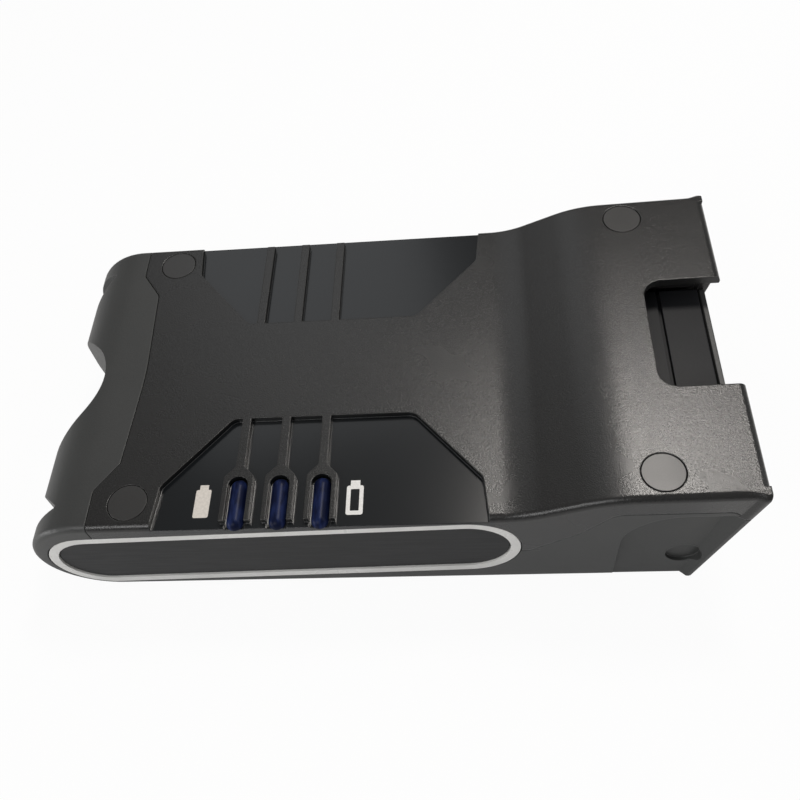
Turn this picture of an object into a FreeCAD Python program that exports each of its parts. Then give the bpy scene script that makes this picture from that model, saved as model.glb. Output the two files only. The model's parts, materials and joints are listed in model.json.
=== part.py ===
import FreeCAD, Part
import Sketcher
import math
import os

# A slide-in battery pack for a cordless vacuum cleaner: seven round cells lie side by side
# across a two-piece case, with a control board above them and the terminals in an open notch
# of the raised end. Millimetres; +Z up, +X towards the terminal end, the badge on the -Y side.
# The origin is the middle of the pack's length and width, on the surface it rests on.

Vector = FreeCAD.Vector
Rotation = FreeCAD.Rotation
doc = FreeCAD.newDocument("vacuum_battery")
sheet = doc.addObject("Spreadsheet::Sheet", "sizes")
FAR = 200.0
failures = []


# Sizes
class Size:
    """A number together with the spreadsheet expression that gives it."""

    def __init__(self, value, text):
        self.value = float(value)
        self.text = text

    def __add__(self, other):
        other = as_size(other)
        return Size(self.value + other.value, f"({self.text} + {other.text})")

    def __sub__(self, other):
        other = as_size(other)
        return Size(self.value - other.value, f"({self.text} - {other.text})")

    def __mul__(self, other):
        other = as_size(other)
        return Size(self.value * other.value, f"({self.text} * {other.text})")

    def __truediv__(self, other):
        other = as_size(other)
        return Size(self.value / other.value, f"({self.text} / {other.text})")

    def __neg__(self):
        return Size(-self.value, f"(-{self.text})")

    def __radd__(self, other):
        return as_size(other) + self

    def __rsub__(self, other):
        return as_size(other) - self

    def __rmul__(self, other):
        return as_size(other) * self


def as_size(number):
    if isinstance(number, Size):
        return number
    return Size(number, repr(float(number)))


def tangent(angle):
    return Size(math.tan(math.radians(angle.value)), f"tan({angle.text})")


rows = []


def size(name, value):
    """Write one driving dimension to the sheet and give it back as a Size."""
    rows.append(name)
    row = len(rows)
    sheet.set(f"A{row}", name)
    sheet.set(f"B{row}", str(value))
    sheet.setAlias(f"B{row}", name)
    return Size(value, f"sizes.{name}")


# Case
body_length = size("body_length", 163.4)
body_width = size("body_width", 85.8)
flat_height = size("flat_height", 32.0)
raise_height = size("raise_height", 7.5)
crest_height = size("crest_height", 6.9)
ramp_foot = size("ramp_foot", 49.0)
ramp_crest = size("ramp_crest", 31.7)
foot_radius = size("foot_radius", 24.0)
crest_radius = size("crest_radius", 33.5)
side_lean = size("side_lean", 2.86)
end_lean = size("end_lean", 13.5)
edge_round = size("edge_round", 1.6)
wall = size("wall", 2.4)
top_skin = size("top_skin", 3.2)
seam_gap = size("seam_gap", 0.25)
seam_height = size("seam_height", 15.6)
seam_rise_height = size("seam_rise_height", 32.7)
seam_rise_start = size("seam_rise_start", 47.8)
seam_rise_run = size("seam_rise_run", 17.6)
seam_knee_run = size("seam_knee_run", 10.6)
seam_knee_height = size("seam_knee_height", 23.8)
seam_lip_drop = size("seam_lip_drop", 2.6)
seam_lip_run = size("seam_lip_run", 2.6)
seam_lip_inset = size("seam_lip_inset", 3.9)
grip_side_inset = size("grip_side_inset", 18.2)
grip_middle_inset = size("grip_middle_inset", 23.2)
grip_bow = size("grip_bow", 1.4)
grip_side_reach = size("grip_side_reach", 33.0)
grip_middle_reach = size("grip_middle_reach", 25.8)

# Grip end
scoop_depth = size("scoop_depth", 19.67)
scoop_radius = size("scoop_radius", 14.7)
scoop_round = size("scoop_round", 2.1)
thumb_notch_place = size("thumb_notch_place", 35.9)
thumb_notch_depth = size("thumb_notch_depth", 9.3)
thumb_notch_rise = size("thumb_notch_rise", 2.8)
thumb_notch_fall = size("thumb_notch_fall", 8.4)
thumb_notch_round = size("thumb_notch_round", 0.5)
thumb_lip_round = size("thumb_lip_round", 2.1)
post_round = size("post_round", 1.3)

# Panels on the flat top
panel_depth = size("panel_depth", 1.5)
panel_inner = size("panel_inner", 14.5)
panel_outer = size("panel_outer", 32.3)
panel_left = size("panel_left", 48.1)
panel_left_run = size("panel_left_run", 14.9)
panel_right = size("panel_right", 24.5)
panel_right_run = size("panel_right_run", 15.3)
panel_flare = size("panel_flare", 1.2)
panel_round = size("panel_round", 3.0)
rib_width = size("rib_width", 2.0)
rib_pitch = size("rib_pitch", 9.45)
rib_middle = size("rib_middle", 20.6)
surround_width = size("surround_width", 6.8)
surround_inner = size("surround_inner", 30.3)
surround_outer = size("surround_outer", 41.4)
surround_shoulder = size("surround_shoulder", 2.6)
lens_width = size("lens_width", 3.9)
lens_inner = size("lens_inner", 30.6)
lens_outer = size("lens_outer", 43.1)
lens_gap = size("lens_gap", 0.35)
lens_rise = size("lens_rise", 0.1)
lens_leg_width = size("lens_leg_width", 2.2)
lens_leg_length = size("lens_leg_length", 2.4)
lens_leg_clearance = size("lens_leg_clearance", 0.1)
lens_leg_sink = size("lens_leg_sink", 0.5)

# Terminal notch
notch_depth = size("notch_depth", 18.5)
notch_width = size("notch_width", 31.0)
notch_corner = size("notch_corner", 4.5)
notch_skin = size("notch_skin", 2.3)
undercut_width = size("undercut_width", 37.0)
undercut_floor = size("undercut_floor", 0.2)
rim_wall = size("rim_wall", 1.1)
rim_setback = size("rim_setback", 0.8)
block_gap = size("block_gap", 0.7)
block_face_gap = size("block_face_gap", 0.2)
block_length = size("block_length", 12.6)
block_drop = size("block_drop", 4.0)
tongue_thickness = size("tongue_thickness", 3.3)
tongue_groove = size("tongue_groove", 0.9)
tongue_groove_depth = size("tongue_groove_depth", 1.2)
tongue_groove_place = size("tongue_groove_place", 4.3)
contact_count = 5
contact_pitch = size("contact_pitch", 6.0)
contact_slot = size("contact_slot", 1.4)
contact_slot_depth = size("contact_slot_depth", 8.0)
contact_slot_height = size("contact_slot_height", 2.6)
contact_thickness = size("contact_thickness", 0.8)
contact_inset = size("contact_inset", 0.6)

# Side recess and latch bore
recess_floor = size("recess_floor", 40.1)
recess_left = size("recess_left", 28.0)
recess_low = size("recess_low", 2.0)
recess_high = size("recess_high", 31.0)
recess_corner = size("recess_corner", 12.5)
bore_radius = size("bore_radius", 3.9)
bore_place = size("bore_place", 13.1)
bore_height = size("bore_height", 10.0)
bore_depth = size("bore_depth", 4.8)
bore_wall = size("bore_wall", 1.6)

# Badge
ear_reach = size("ear_reach", 1.1)
ear_run = size("ear_run", 4.6)
ear_round = size("ear_round", 1.2)
badge_length = size("badge_length", 110.6)
badge_radius = size("badge_radius", 12.1)
badge_lift = size("badge_lift", 0.85)
badge_pocket = size("badge_pocket", 1.0)
badge_gap = size("badge_gap", 0.3)
ring_width = size("ring_width", 2.2)
ring_thickness = size("ring_thickness", 1.2)
plate_thickness = size("plate_thickness", 0.8)

# Screws and plugs
plug_inset_left = size("plug_inset_left", 26.75)
plug_inset_right = size("plug_inset_right", 20.7)
plug_reach_left = size("plug_reach_left", 36.3)
plug_reach_right = size("plug_reach_right", 36.7)
plug_radius = size("plug_radius", 4.45)
plug_gap = size("plug_gap", 0.22)
plug_thickness = size("plug_thickness", 2.0)
screw_seat = size("screw_seat", 26.0)
screw_radius = size("screw_radius", 1.3)
screw_length = size("screw_length", 12.0)
screw_head_radius = size("screw_head_radius", 2.25)
screw_head_height = size("screw_head_height", 1.7)
screw_clearance = size("screw_clearance", 0.3)
thread_clearance = size("thread_clearance", 0.05)
boss_radius = size("boss_radius", 2.6)
cover_boss_reach = size("cover_boss_reach", 4.0)
screw_reach = size("screw_reach", 36.2)
well_clearance = size("well_clearance", 0.35)
boss_step = size("boss_step", 2.0)

# Cells and what joins them
cell_count = 7
cell_radius = size("cell_radius", 9.2)
cell_length = size("cell_length", 65.2)
cell_pitch = size("cell_pitch", 18.8)
cell_lift = size("cell_lift", 0.6)
cell_end_clearance = size("cell_end_clearance", 3.3)
cell_button_radius = size("cell_button_radius", 4.2)
cell_button_height = size("cell_button_height", 0.7)
cell_groove_depth = size("cell_groove_depth", 0.5)
cell_groove_width = size("cell_groove_width", 1.2)
cell_groove_place = size("cell_groove_place", 3.0)
holder_clearance = size("holder_clearance", 0.05)
holder_depth = size("holder_depth", 7.0)
holder_lip = size("holder_lip", 0.6)
holder_margin = size("holder_margin", 0.8)
holder_height = size("holder_height", 20.6)
window_radius = size("window_radius", 7.4)
strip_thickness = size("strip_thickness", 0.2)
strip_width = size("strip_width", 7.6)
strip_clearance = size("strip_clearance", 0.2)
tab_width = size("tab_width", 3.0)
tab_offset = size("tab_offset", 5.0)
tab_foot = size("tab_foot", 2.4)
insulator_thickness = size("insulator_thickness", 0.2)

# Electronics
board_thickness = size("board_thickness", 1.6)
board_left = size("board_left", 31.1)
board_right = size("board_right", 23.3)
board_reach = size("board_reach", 31.3)
board_tab_reach = size("board_tab_reach", 12.2)
board_tab_edge = size("board_tab_edge", 34.4)
foam_thickness = size("foam_thickness", 0.5)
foam_reach = size("foam_reach", 22.0)
thermistor_lead = size("thermistor_lead", 0.3)
thermistor_drop = size("thermistor_drop", 3.0)
led_length = size("led_length", 2.8)
led_width = size("led_width", 2.4)
led_height = size("led_height", 0.8)
led_gap = size("led_gap", 0.2)
chip_width = size("chip_width", 7.0)
chip_height = size("chip_height", 1.0)
mosfet_length = size("mosfet_length", 9.2)
mosfet_width = size("mosfet_width", 6.6)
mosfet_height = size("mosfet_height", 2.3)
mosfet_pitch = size("mosfet_pitch", 9.0)
fuse_length = size("fuse_length", 10.0)
fuse_width = size("fuse_width", 3.2)
fuse_height = size("fuse_height", 2.4)
shunt_length = size("shunt_length", 6.4)
shunt_width = size("shunt_width", 3.2)
shunt_height = size("shunt_height", 0.8)
capacitor_radius = size("capacitor_radius", 4.0)
capacitor_height = size("capacitor_height", 5.4)
thermistor_radius = size("thermistor_radius", 1.2)

# Places worked out from the sizes
right_end = body_length / 2
left_end = -body_length / 2
total_height = flat_height + raise_height
half_width = body_width / 2
side_slope = tangent(side_lean)
end_slope = tangent(end_lean)
top_half_width = half_width + raise_height * side_slope
low_half_width = half_width - flat_height * side_slope
inner_half_width = low_half_width - wall
nose_middle = left_end + flat_height / 2
low_right = right_end - total_height * end_slope
ceiling = flat_height - top_skin
foot_x = right_end - ramp_foot
crest_x = right_end - ramp_crest
crest_z = flat_height + crest_height
raised_plug_z = total_height - (total_height - crest_z) * plug_inset_right / ramp_crest
inner_left = left_end + scoop_depth - (scoop_radius * (math.sqrt(2) - 1)) + wall
lens_seat = flat_height + lens_rise - lens_width / 2
cell_middle_z = wall + cell_lift + cell_radius
last_cell_x = right_end - (total_height - cell_middle_z) * end_slope - wall - cell_radius - cell_end_clearance
first_cell_x = last_cell_x - cell_pitch * (cell_count - 1)
cell_half = cell_length / 2
holder_outer = cell_half + holder_lip
holder_top = wall + holder_height
board_top = holder_top + board_thickness
notch_x = right_end - notch_depth
notch_floor = flat_height + undercut_floor
rim_inner = right_end - (total_height - notch_floor) * end_slope - rim_setback - rim_wall


def end_x(height):
    """Where the leaning end face stands at a height."""
    return right_end - (total_height - height) * end_slope


# Making features
def bind(thing, field, amount):
    """Give a field its value and bind it to the sheet."""
    amount = as_size(amount)
    thing.setExpression(field, amount.text)


def origin_plane(body, role):
    for feature in body.Origin.OriginFeatures:
        if feature.Role == role:
            return feature
    raise RuntimeError(f"{body.Label} has no {role}")


def new_body(name):
    body = doc.addObject("PartDesign::Body", name)
    body.Label = name
    return body


def new_sketch(body, name, plane, offset=0.0):
    """A sketch on one of the body's own planes, moved along that plane's normal."""
    sketch = body.newObject("Sketcher::SketchObject", name)
    sketch.AttachmentSupport = [(origin_plane(body, plane), "")]
    sketch.MapMode = "FlatFace"
    bind(sketch, ".AttachmentOffset.Base.z", offset)
    return sketch


def fix_point(sketch, geometry, end, place):
    """Dimension one point of the sketch from its origin, with both sizes bound."""
    for kind, amount in (("DistanceX", place[0]), ("DistanceY", place[1])):
        amount = as_size(amount)
        index = sketch.addConstraint(
            Sketcher.Constraint(kind, -1, 1, geometry, end, amount.value)
        )
        sketch.setExpression(f"Constraints[{index}]", amount.text)


def flat(place):
    return Vector(as_size(place[0]).value, as_size(place[1]).value, 0)


def outline(sketch, corners):
    """Draw a closed outline. A corner is (x, y), (x, y, radius) or (x, y, "half"),
    where half turns the stretch to the next corner into half a circle."""
    count = len(corners)
    points = [flat(corner) for corner in corners]
    halves = [len(corner) > 2 and corner[2] == "half" for corner in corners]
    starts = list(points)
    ends = list(points)
    for i, corner in enumerate(corners):
        if len(corner) < 3 or halves[i]:
            continue
        back = (points[i - 1] - points[i]).normalize()
        ahead = (points[(i + 1) % count] - points[i]).normalize()
        half_turn = back.getAngle(ahead) / 2
        reach = as_size(corner[2]).value / math.tan(half_turn)
        ends[i] = points[i] + back * reach
        starts[i] = points[i] + ahead * reach
    lines = []
    for i in range(count):
        if halves[i]:
            lines.append(None)
            continue
        line = Part.LineSegment(starts[i], ends[(i + 1) % count])
        lines.append(sketch.addGeometry(line, False))
    for i, corner in enumerate(corners):
        before = lines[i - 1]
        after = lines[i]
        if halves[i]:
            following = corners[(i + 1) % count]
            fix_point(sketch, before, 2, corner)
            fix_point(sketch, lines[(i + 1) % count], 1, following)
            half_round(sketch, before, lines[(i + 1) % count], points[i - 1], points[i], flat(following))
        elif before is None:
            continue
        elif len(corner) < 3:
            sketch.addConstraint(Sketcher.Constraint("Coincident", before, 2, after, 1))
            fix_point(sketch, after, 1, corner)
        else:
            round_corner(sketch, before, after, corner, ends[i], points[i], starts[i])


def half_round(sketch, before, after, back, first, last):
    """Half a circle from the end of one line to the start of the next."""
    centre = (first + last) / 2
    radius = (last - first).Length / 2
    turn = (first - back).cross(last - first).z
    curve = Part.Circle(centre, Vector(0, 0, 1), radius)
    first_angle = math.atan2(first.y - centre.y, first.x - centre.x)
    last_angle = math.atan2(last.y - centre.y, last.x - centre.x)
    if turn > 0:
        arc = sketch.addGeometry(Part.ArcOfCircle(curve, first_angle, last_angle), False)
    else:
        arc = sketch.addGeometry(Part.ArcOfCircle(curve, last_angle, first_angle), False)
    near, away = (1, 2) if turn > 0 else (2, 1)
    sketch.addConstraint(Sketcher.Constraint("Tangent", before, 2, arc, near))
    sketch.addConstraint(Sketcher.Constraint("Coincident", after, 1, arc, away))


def round_corner(sketch, before, after, corner, first, tip, last):
    """Join two lines by a tangent arc, with the sharp corner kept as a fixed point."""
    radius = as_size(corner[2])
    middle = (first + last) / 2 - tip
    centre = tip + middle * (
        math.hypot((first - tip).Length, radius.value) / middle.Length
    )
    angle_one = math.atan2(first.y - centre.y, first.x - centre.x)
    angle_two = math.atan2(last.y - centre.y, last.x - centre.x)
    turn = (angle_two - angle_one) % (2 * math.pi)
    forward = turn < math.pi
    circle = Part.Circle(centre, Vector(0, 0, 1), radius.value)
    if forward:
        arc = sketch.addGeometry(Part.ArcOfCircle(circle, angle_one, angle_two), False)
    else:
        arc = sketch.addGeometry(Part.ArcOfCircle(circle, angle_two, angle_one), False)
    near, away = (1, 2) if forward else (2, 1)
    sketch.addConstraint(Sketcher.Constraint("Tangent", before, 2, arc, near))
    sketch.addConstraint(Sketcher.Constraint("Tangent", after, 1, arc, away))
    index = sketch.addConstraint(Sketcher.Constraint("Radius", arc, radius.value))
    sketch.setExpression(f"Constraints[{index}]", radius.text)
    point = sketch.addGeometry(Part.Point(tip), True)
    fix_point(sketch, point, 1, corner)
    sketch.addConstraint(Sketcher.Constraint("PointOnObject", point, 1, before))
    sketch.addConstraint(Sketcher.Constraint("PointOnObject", point, 1, after))


def circle(sketch, place, radius):
    radius = as_size(radius)
    index = sketch.addGeometry(Part.Circle(flat(place), Vector(0, 0, 1), radius.value), False)
    fix_point(sketch, index, 3, place)
    datum = sketch.addConstraint(Sketcher.Constraint("Radius", index, radius.value))
    sketch.setExpression(f"Constraints[{datum}]", radius.text)


def rectangle(sketch, low, high, radius=None):
    places = [(low[0], low[1]), (high[0], low[1]), (high[0], high[1]), (low[0], high[1])]
    if radius is not None:
        places = [(x, y, radius) for x, y in places]
    outline(sketch, places)


def build(body, kind, name, sketch, length, both_ways=False, reverse=False):
    """Pad or pocket a sketch, and note a pocket that cuts nothing."""
    before = body.Shape.Volume if body.Tip is not None and body.Group else 0.0
    feature = body.newObject(f"PartDesign::{kind}", name)
    feature.Profile = sketch
    bind(feature, "Length", length)
    if both_ways:
        feature.SideType = "Symmetric"
    feature.Reversed = reverse
    doc.recompute()
    change = feature.Shape.Volume - before
    if kind == "Pocket" and change > -1e-3:
        failures.append(f"{body.Label}.{name} cuts nothing")
    if kind == "Pad" and change < 1e-3:
        failures.append(f"{body.Label}.{name} adds nothing")
    return feature


def pad(body, name, sketch, length, **more):
    return build(body, "Pad", name, sketch, length, **more)


def pocket(body, name, sketch, length, **more):
    return build(body, "Pocket", name, sketch, length, **more)


def round_edges(body, name, base, radius, chosen):
    """Fillet the edges of a feature that the chosen test picks."""
    names = []
    for number, edge in enumerate(base.Shape.Edges, 1):
        if chosen(edge):
            names.append(f"Edge{number}")
    fillet = body.newObject("PartDesign::Fillet", name)
    fillet.Base = (base, names)
    bind(fillet, "Radius", radius)
    doc.recompute()
    return fillet


def middle_of(edge):
    return edge.valueAt((edge.FirstParameter + edge.LastParameter) / 2)


def half_width_at(z):
    return half_width.value + (z - flat_height.value) * side_slope.value


# Outer form shared by both halves of the case
def outer_form(body):
    """The closed outside of the pack, before it is hollowed and parted."""
    plan = new_sketch(body, "plan", "XY_Plane")
    notch_in = left_end + thumb_notch_depth
    lower = [
        (left_end, -top_half_width),
        (right_end, -top_half_width),
        (right_end, top_half_width),
        (left_end, top_half_width),
    ]
    grip = []
    for side in (1, -1):
        half = [
            (left_end, side * (thumb_notch_place + thumb_notch_rise), post_round),
            (notch_in, side * thumb_notch_place, thumb_notch_round),
            (left_end, side * (thumb_notch_place - thumb_notch_fall), thumb_lip_round),
            (left_end, side * scoop_depth, scoop_round),
        ]
        grip += half if side > 0 else [(left_end + scoop_depth, 0.0, scoop_radius)] + half[::-1]
    outline(plan, lower + grip)
    pad(body, "block", plan, total_height)

    # Side view: a half-round nose, the flat top, the ramp and the raised terminal end
    side = new_sketch(body, "side_view", "XZ_Plane")
    side_profile(side)
    pocket(body, "side_cut", side, 2 * FAR, both_ways=True)

    # Leaning side faces
    lean = new_sketch(body, "lean", "YZ_Plane")
    for sign in (1, -1):
        outline(
            lean,
            [
                (sign * low_half_width, 0.0),
                (sign * top_half_width, total_height),
                (sign * (top_half_width + wall), total_height),
                (sign * (top_half_width + wall), 0.0),
            ],
        )
    leaning = pocket(body, "lean_cut", lean, 2 * FAR, both_ways=True)

    def on_border(edge):
        spot = middle_of(edge)
        at_side = abs(abs(spot.y) - half_width_at(spot.z)) < 0.02
        at_end = abs(spot.x - end_x(as_size(spot.z)).value) < 0.02
        return at_side or at_end

    return round_edges(body, "outer_round", leaning, edge_round, on_border)


def side_profile(sketch):
    """Everything outside the side view, as one closed ring round it."""
    outline(
        sketch,
        [
            (low_right, 0.0),
            (right_end, total_height),
            (crest_x, crest_z, crest_radius),
            (foot_x, flat_height, foot_radius),
            (nose_middle, flat_height, "half"),
            (nose_middle, 0.0),
        ],
    )
    rectangle(sketch, (-FAR, -FAR), (FAR, FAR))


# Inside of the case
def hollow(body):
    """The room for the cells and the board, the same in both halves."""
    room = new_sketch(body, "room", "XZ_Plane")
    outline(
        room,
        [
            (inner_left, wall),
            (end_x(wall) - wall, wall),
            (end_x(crest_z - top_skin) - wall, crest_z - top_skin),
            (crest_x, crest_z - top_skin),
            (foot_x, ceiling),
            (inner_left, ceiling),
        ],
    )
    return pocket(body, "room_cut", room, 2 * inner_half_width, both_ways=True)


def screw_places():
    left = left_end + plug_inset_left
    right = right_end - plug_inset_right
    return [(x, sign * screw_reach) for x in (left, right) for sign in (-1, 1)]


def plug_places():
    """The plugs hide the screws, a little further out than the screws themselves."""
    reaches = (plug_reach_left, plug_reach_left, plug_reach_right, plug_reach_right)
    signs = (-1, 1, -1, 1)
    return [(place[0], sign * reach) for place, sign, reach in zip(screw_places(), signs, reaches)]


def badge_outline(sketch, inset):
    """The badge's stadium outline, in by an inset."""
    radius = badge_radius - inset
    middle = flat_height / 2 + badge_lift
    start = nose_middle
    end = nose_middle + badge_length - badge_radius * 2
    outline(
        sketch,
        [
            (start, middle - radius),
            (end, middle - radius, "half"),
            (end, middle + radius),
            (start, middle + radius, "half"),
        ],
    )


def badge_plane(body, name, depth):
    """A sketch plane that leans with the badge side, a depth under its surface."""
    sketch = new_sketch(body, name, "XZ_Plane", low_half_width - depth)
    bind(sketch, ".AttachmentOffset.Rotation.Axis.x", 1.0)
    bind(sketch, ".AttachmentOffset.Rotation.Angle", side_lean)
    return sketch


def badge_pocket_cut(body):
    seat = badge_plane(body, "badge_seat", badge_pocket)
    badge_outline(seat, -badge_gap)
    return pocket(body, "badge_cut", seat, wall * 4, reverse=True)


# Top cover
def rib_places():
    return [-rib_middle - rib_pitch, -rib_middle, -rib_middle + rib_pitch]


def make_cover():
    body = new_body("top_cover")
    outer_form(body)

    # The arms flare out a little where they end
    base = top_half_width - edge_round * 1.5
    tip = top_half_width + ear_reach
    for side, name in ((-1, "front"), (1, "back")):
        ear = new_sketch(body, f"{name}_ear", "XY_Plane", seam_rise_height - seam_lip_drop)
        outline(
            ear,
            [
                (right_end - ear_run - ear_reach, side * base),
                (right_end - ear_run, side * (top_half_width - ear_reach / 4), ear_round * 1.5),
                (right_end - ear_run / 2, side * tip, ear_round),
                (right_end - ear_reach / 2, side * tip, ear_round),
                (right_end - ear_reach / 2, side * base),
            ],
        )
        pad(body, f"{name}_ear_pad", ear, raise_height + seam_lip_drop)
    trim = new_sketch(body, "ear_trim", "XZ_Plane")
    side_profile(trim)
    pocket(body, "ear_trim_cut", trim, 2 * FAR, both_ways=True)

    # Recessed panels, front and back, open towards the sides
    for side, name in ((-1, "front"), (1, "back")):
        panel = new_sketch(body, f"{name}_panel", "XY_Plane", flat_height - panel_depth)
        outline(
            panel,
            [
                (-panel_left - panel_flare, side * (top_half_width + wall)),
                (-panel_left, side * panel_outer, panel_round),
                (-panel_left + panel_left_run, side * panel_inner, panel_round),
                (panel_right - panel_right_run, side * panel_inner, panel_round),
                (panel_right, side * panel_outer, panel_round),
                (panel_right + panel_flare, side * (top_half_width + wall)),
            ],
        )
        pocket(body, f"{name}_panel_cut", panel, raise_height, reverse=True)

    # Ribs across the panels
    for side, name in ((-1, "front"), (1, "back")):
        reach = surround_outer if side > 0 else surround_inner + rib_width
        for number, x in enumerate(rib_places(), 1):
            rib = new_sketch(body, f"{name}_rib_{number}", "XY_Plane", ceiling + wall / 2)
            rectangle(
                rib,
                (x - rib_width / 2, side * (panel_inner - rib_width)),
                (x + rib_width / 2, side * reach),
            )
            pad(body, f"{name}_rib_pad_{number}", rib, top_skin - wall / 2)

    # Bottle-shaped surrounds of the lenses
    for number, x in enumerate(rib_places(), 1):
        surround = new_sketch(body, f"surround_{number}", "XY_Plane", ceiling + wall / 2)
        half = surround_width / 2
        neck = rib_width / 2
        outline(
            surround,
            [
                (x - neck, -surround_inner + surround_shoulder),
                (x - half, -surround_inner, neck),
                (x - half, -surround_outer),
                (x + half, -surround_outer),
                (x + half, -surround_inner, neck),
                (x + neck, -surround_inner + surround_shoulder),
            ],
        )
        pad(body, f"surround_pad_{number}", surround, top_skin - wall / 2)
        slot = new_sketch(body, f"lens_slot_{number}", "XY_Plane", lens_seat)
        width = lens_width / 2 + lens_gap
        outline(
            slot,
            [
                (x - width, -top_half_width - wall),
                (x + width, -top_half_width - wall),
                (x + width, -lens_inner - lens_width / 2, "half"),
                (x - width, -lens_inner - lens_width / 2),
            ],
        )
        pocket(body, f"lens_slot_cut_{number}", slot, lens_width, reverse=True)

    hollow(body)

    # Parting: the cover keeps what is above the seam and right of the grip
    below = new_sketch(body, "below_seam", "XZ_Plane")
    outline(below, seam_path(0.0) + [(FAR, -FAR), (-FAR, -FAR), (-FAR, seam_height)])
    pocket(body, "below_seam_cut", below, 2 * FAR, both_ways=True)
    grip = new_sketch(body, "grip_side", "XY_Plane")
    outline(grip, grip_path(0.0) + [(-FAR, top_half_width * 2), (-FAR, -top_half_width * 2)])
    pocket(body, "grip_side_cut", grip, FAR, reverse=True)

    # Walls that line the terminal notch
    lining = new_sketch(body, "lining", "XY_Plane", seam_rise_height + seam_gap)
    inner = undercut_width / 2
    outer = inner + wall
    for sign in (1, -1):
        rectangle(lining, (notch_x, sign * inner), (end_x(crest_z - top_skin) - wall / 2, sign * outer))
    pad(body, "lining_pad", lining, crest_z - top_skin / 2 - seam_rise_height)

    # The notch itself and the wider room under its skin
    notch = new_sketch(body, "notch", "XY_Plane", notch_floor)
    outline(
        notch,
        [
            (notch_x, -notch_width / 2, notch_corner),
            (right_end + wall, -notch_width / 2),
            (right_end + wall, notch_width / 2),
            (notch_x, notch_width / 2, notch_corner),
        ],
    )
    pocket(body, "notch_cut", notch, total_height, reverse=True)
    under = new_sketch(body, "undercut", "XY_Plane", seam_height)
    rectangle(under, (notch_x, -inner), (right_end + wall, inner))
    pocket(body, "undercut_cut", under, total_height - notch_skin - seam_height, reverse=True)

    # Screw bosses that hang from the skin, each with a plug seat, a head well and a hole
    low = screw_seat - boss_step
    bosses = new_sketch(body, "bosses", "XY_Plane", low)
    tall = new_sketch(body, "tall_bosses", "XY_Plane", low)
    for number, (x, y) in enumerate(screw_places()):
        sign = -1 if y.value < 0 else 1
        group = bosses if number < 2 else tall
        out = inner_half_width + wall / 2 if number < 2 else inner_half_width - seam_gap
        rectangle(
            group,
            (x - cover_boss_reach, sign * (screw_reach - cover_boss_reach)),
            (x + cover_boss_reach, sign * out),
        )
    pad(body, "boss_pad", bosses, ceiling + wall / 2 - low)
    pad(body, "tall_boss_pad", tall, crest_z - top_skin / 2 - low)
    for group, top, name in ((plug_places()[:2], flat_height, "left"), (plug_places()[2:], raised_plug_z, "right")):
        seats = new_sketch(body, f"{name}_plug_seats", "XY_Plane", top - plug_thickness)
        for place in group:
            circle(seats, place, plug_radius + plug_gap)
        pocket(body, f"{name}_plug_seat_cut", seats, raise_height, reverse=True)
    wells = new_sketch(body, "head_wells", "XY_Plane", screw_seat)
    holes = new_sketch(body, "screw_holes", "XY_Plane", low)
    for place in screw_places():
        circle(wells, place, screw_head_radius + well_clearance)
        circle(holes, place, screw_radius + screw_clearance)
    pocket(body, "head_well_cut", wells, total_height, reverse=True)
    pocket(body, "screw_hole_cut", holes, total_height, reverse=True)

    # Legs of the lenses pass through the skin
    legs = new_sketch(body, "leg_holes", "XY_Plane", ceiling - wall)
    for x in rib_places():
        leg_rectangle(legs, x, lens_leg_clearance)
    pocket(body, "leg_hole_cut", legs, wall * 2, reverse=True)

    badge_pocket_cut(body)
    return body


def leg_rectangle(sketch, x, clearance):
    half = lens_leg_width / 2 + clearance
    start = -lens_inner - lens_leg_clearance * 2 - lens_leg_length
    rectangle(sketch, (x - half, start - clearance), (x + half, start + lens_leg_length + clearance))


def seam_path(shift):
    """The seam seen from the side, from the flat stretch up round the recess to the end."""
    rise = right_end - seam_rise_start
    lip = right_end - seam_lip_inset
    return [
        (rise, seam_height - shift),
        (rise + seam_knee_run, seam_knee_height - shift, seam_knee_run),
        (rise + seam_rise_run, seam_rise_height - shift, seam_lip_inset),
        (lip - seam_lip_run, seam_rise_height - shift, seam_lip_run),
        (lip, seam_rise_height - seam_lip_drop - shift, seam_lip_run / 2),
        (FAR, seam_rise_height - seam_lip_drop - shift),
    ]


def grip_path(shift):
    """The seam seen from above, from the front side across the pack to the back."""
    side_x = left_end + grip_side_inset - shift
    shoulder_x = left_end + grip_middle_inset - shift
    return [
        (side_x, -top_half_width * 2),
        (side_x, -grip_side_reach, edge_round),
        (shoulder_x, -grip_middle_reach, edge_round),
        (shoulder_x + grip_bow, 0.0, body_width),
        (shoulder_x, grip_middle_reach, edge_round),
        (side_x, grip_side_reach, edge_round),
        (side_x, top_half_width * 2),
    ]


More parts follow.
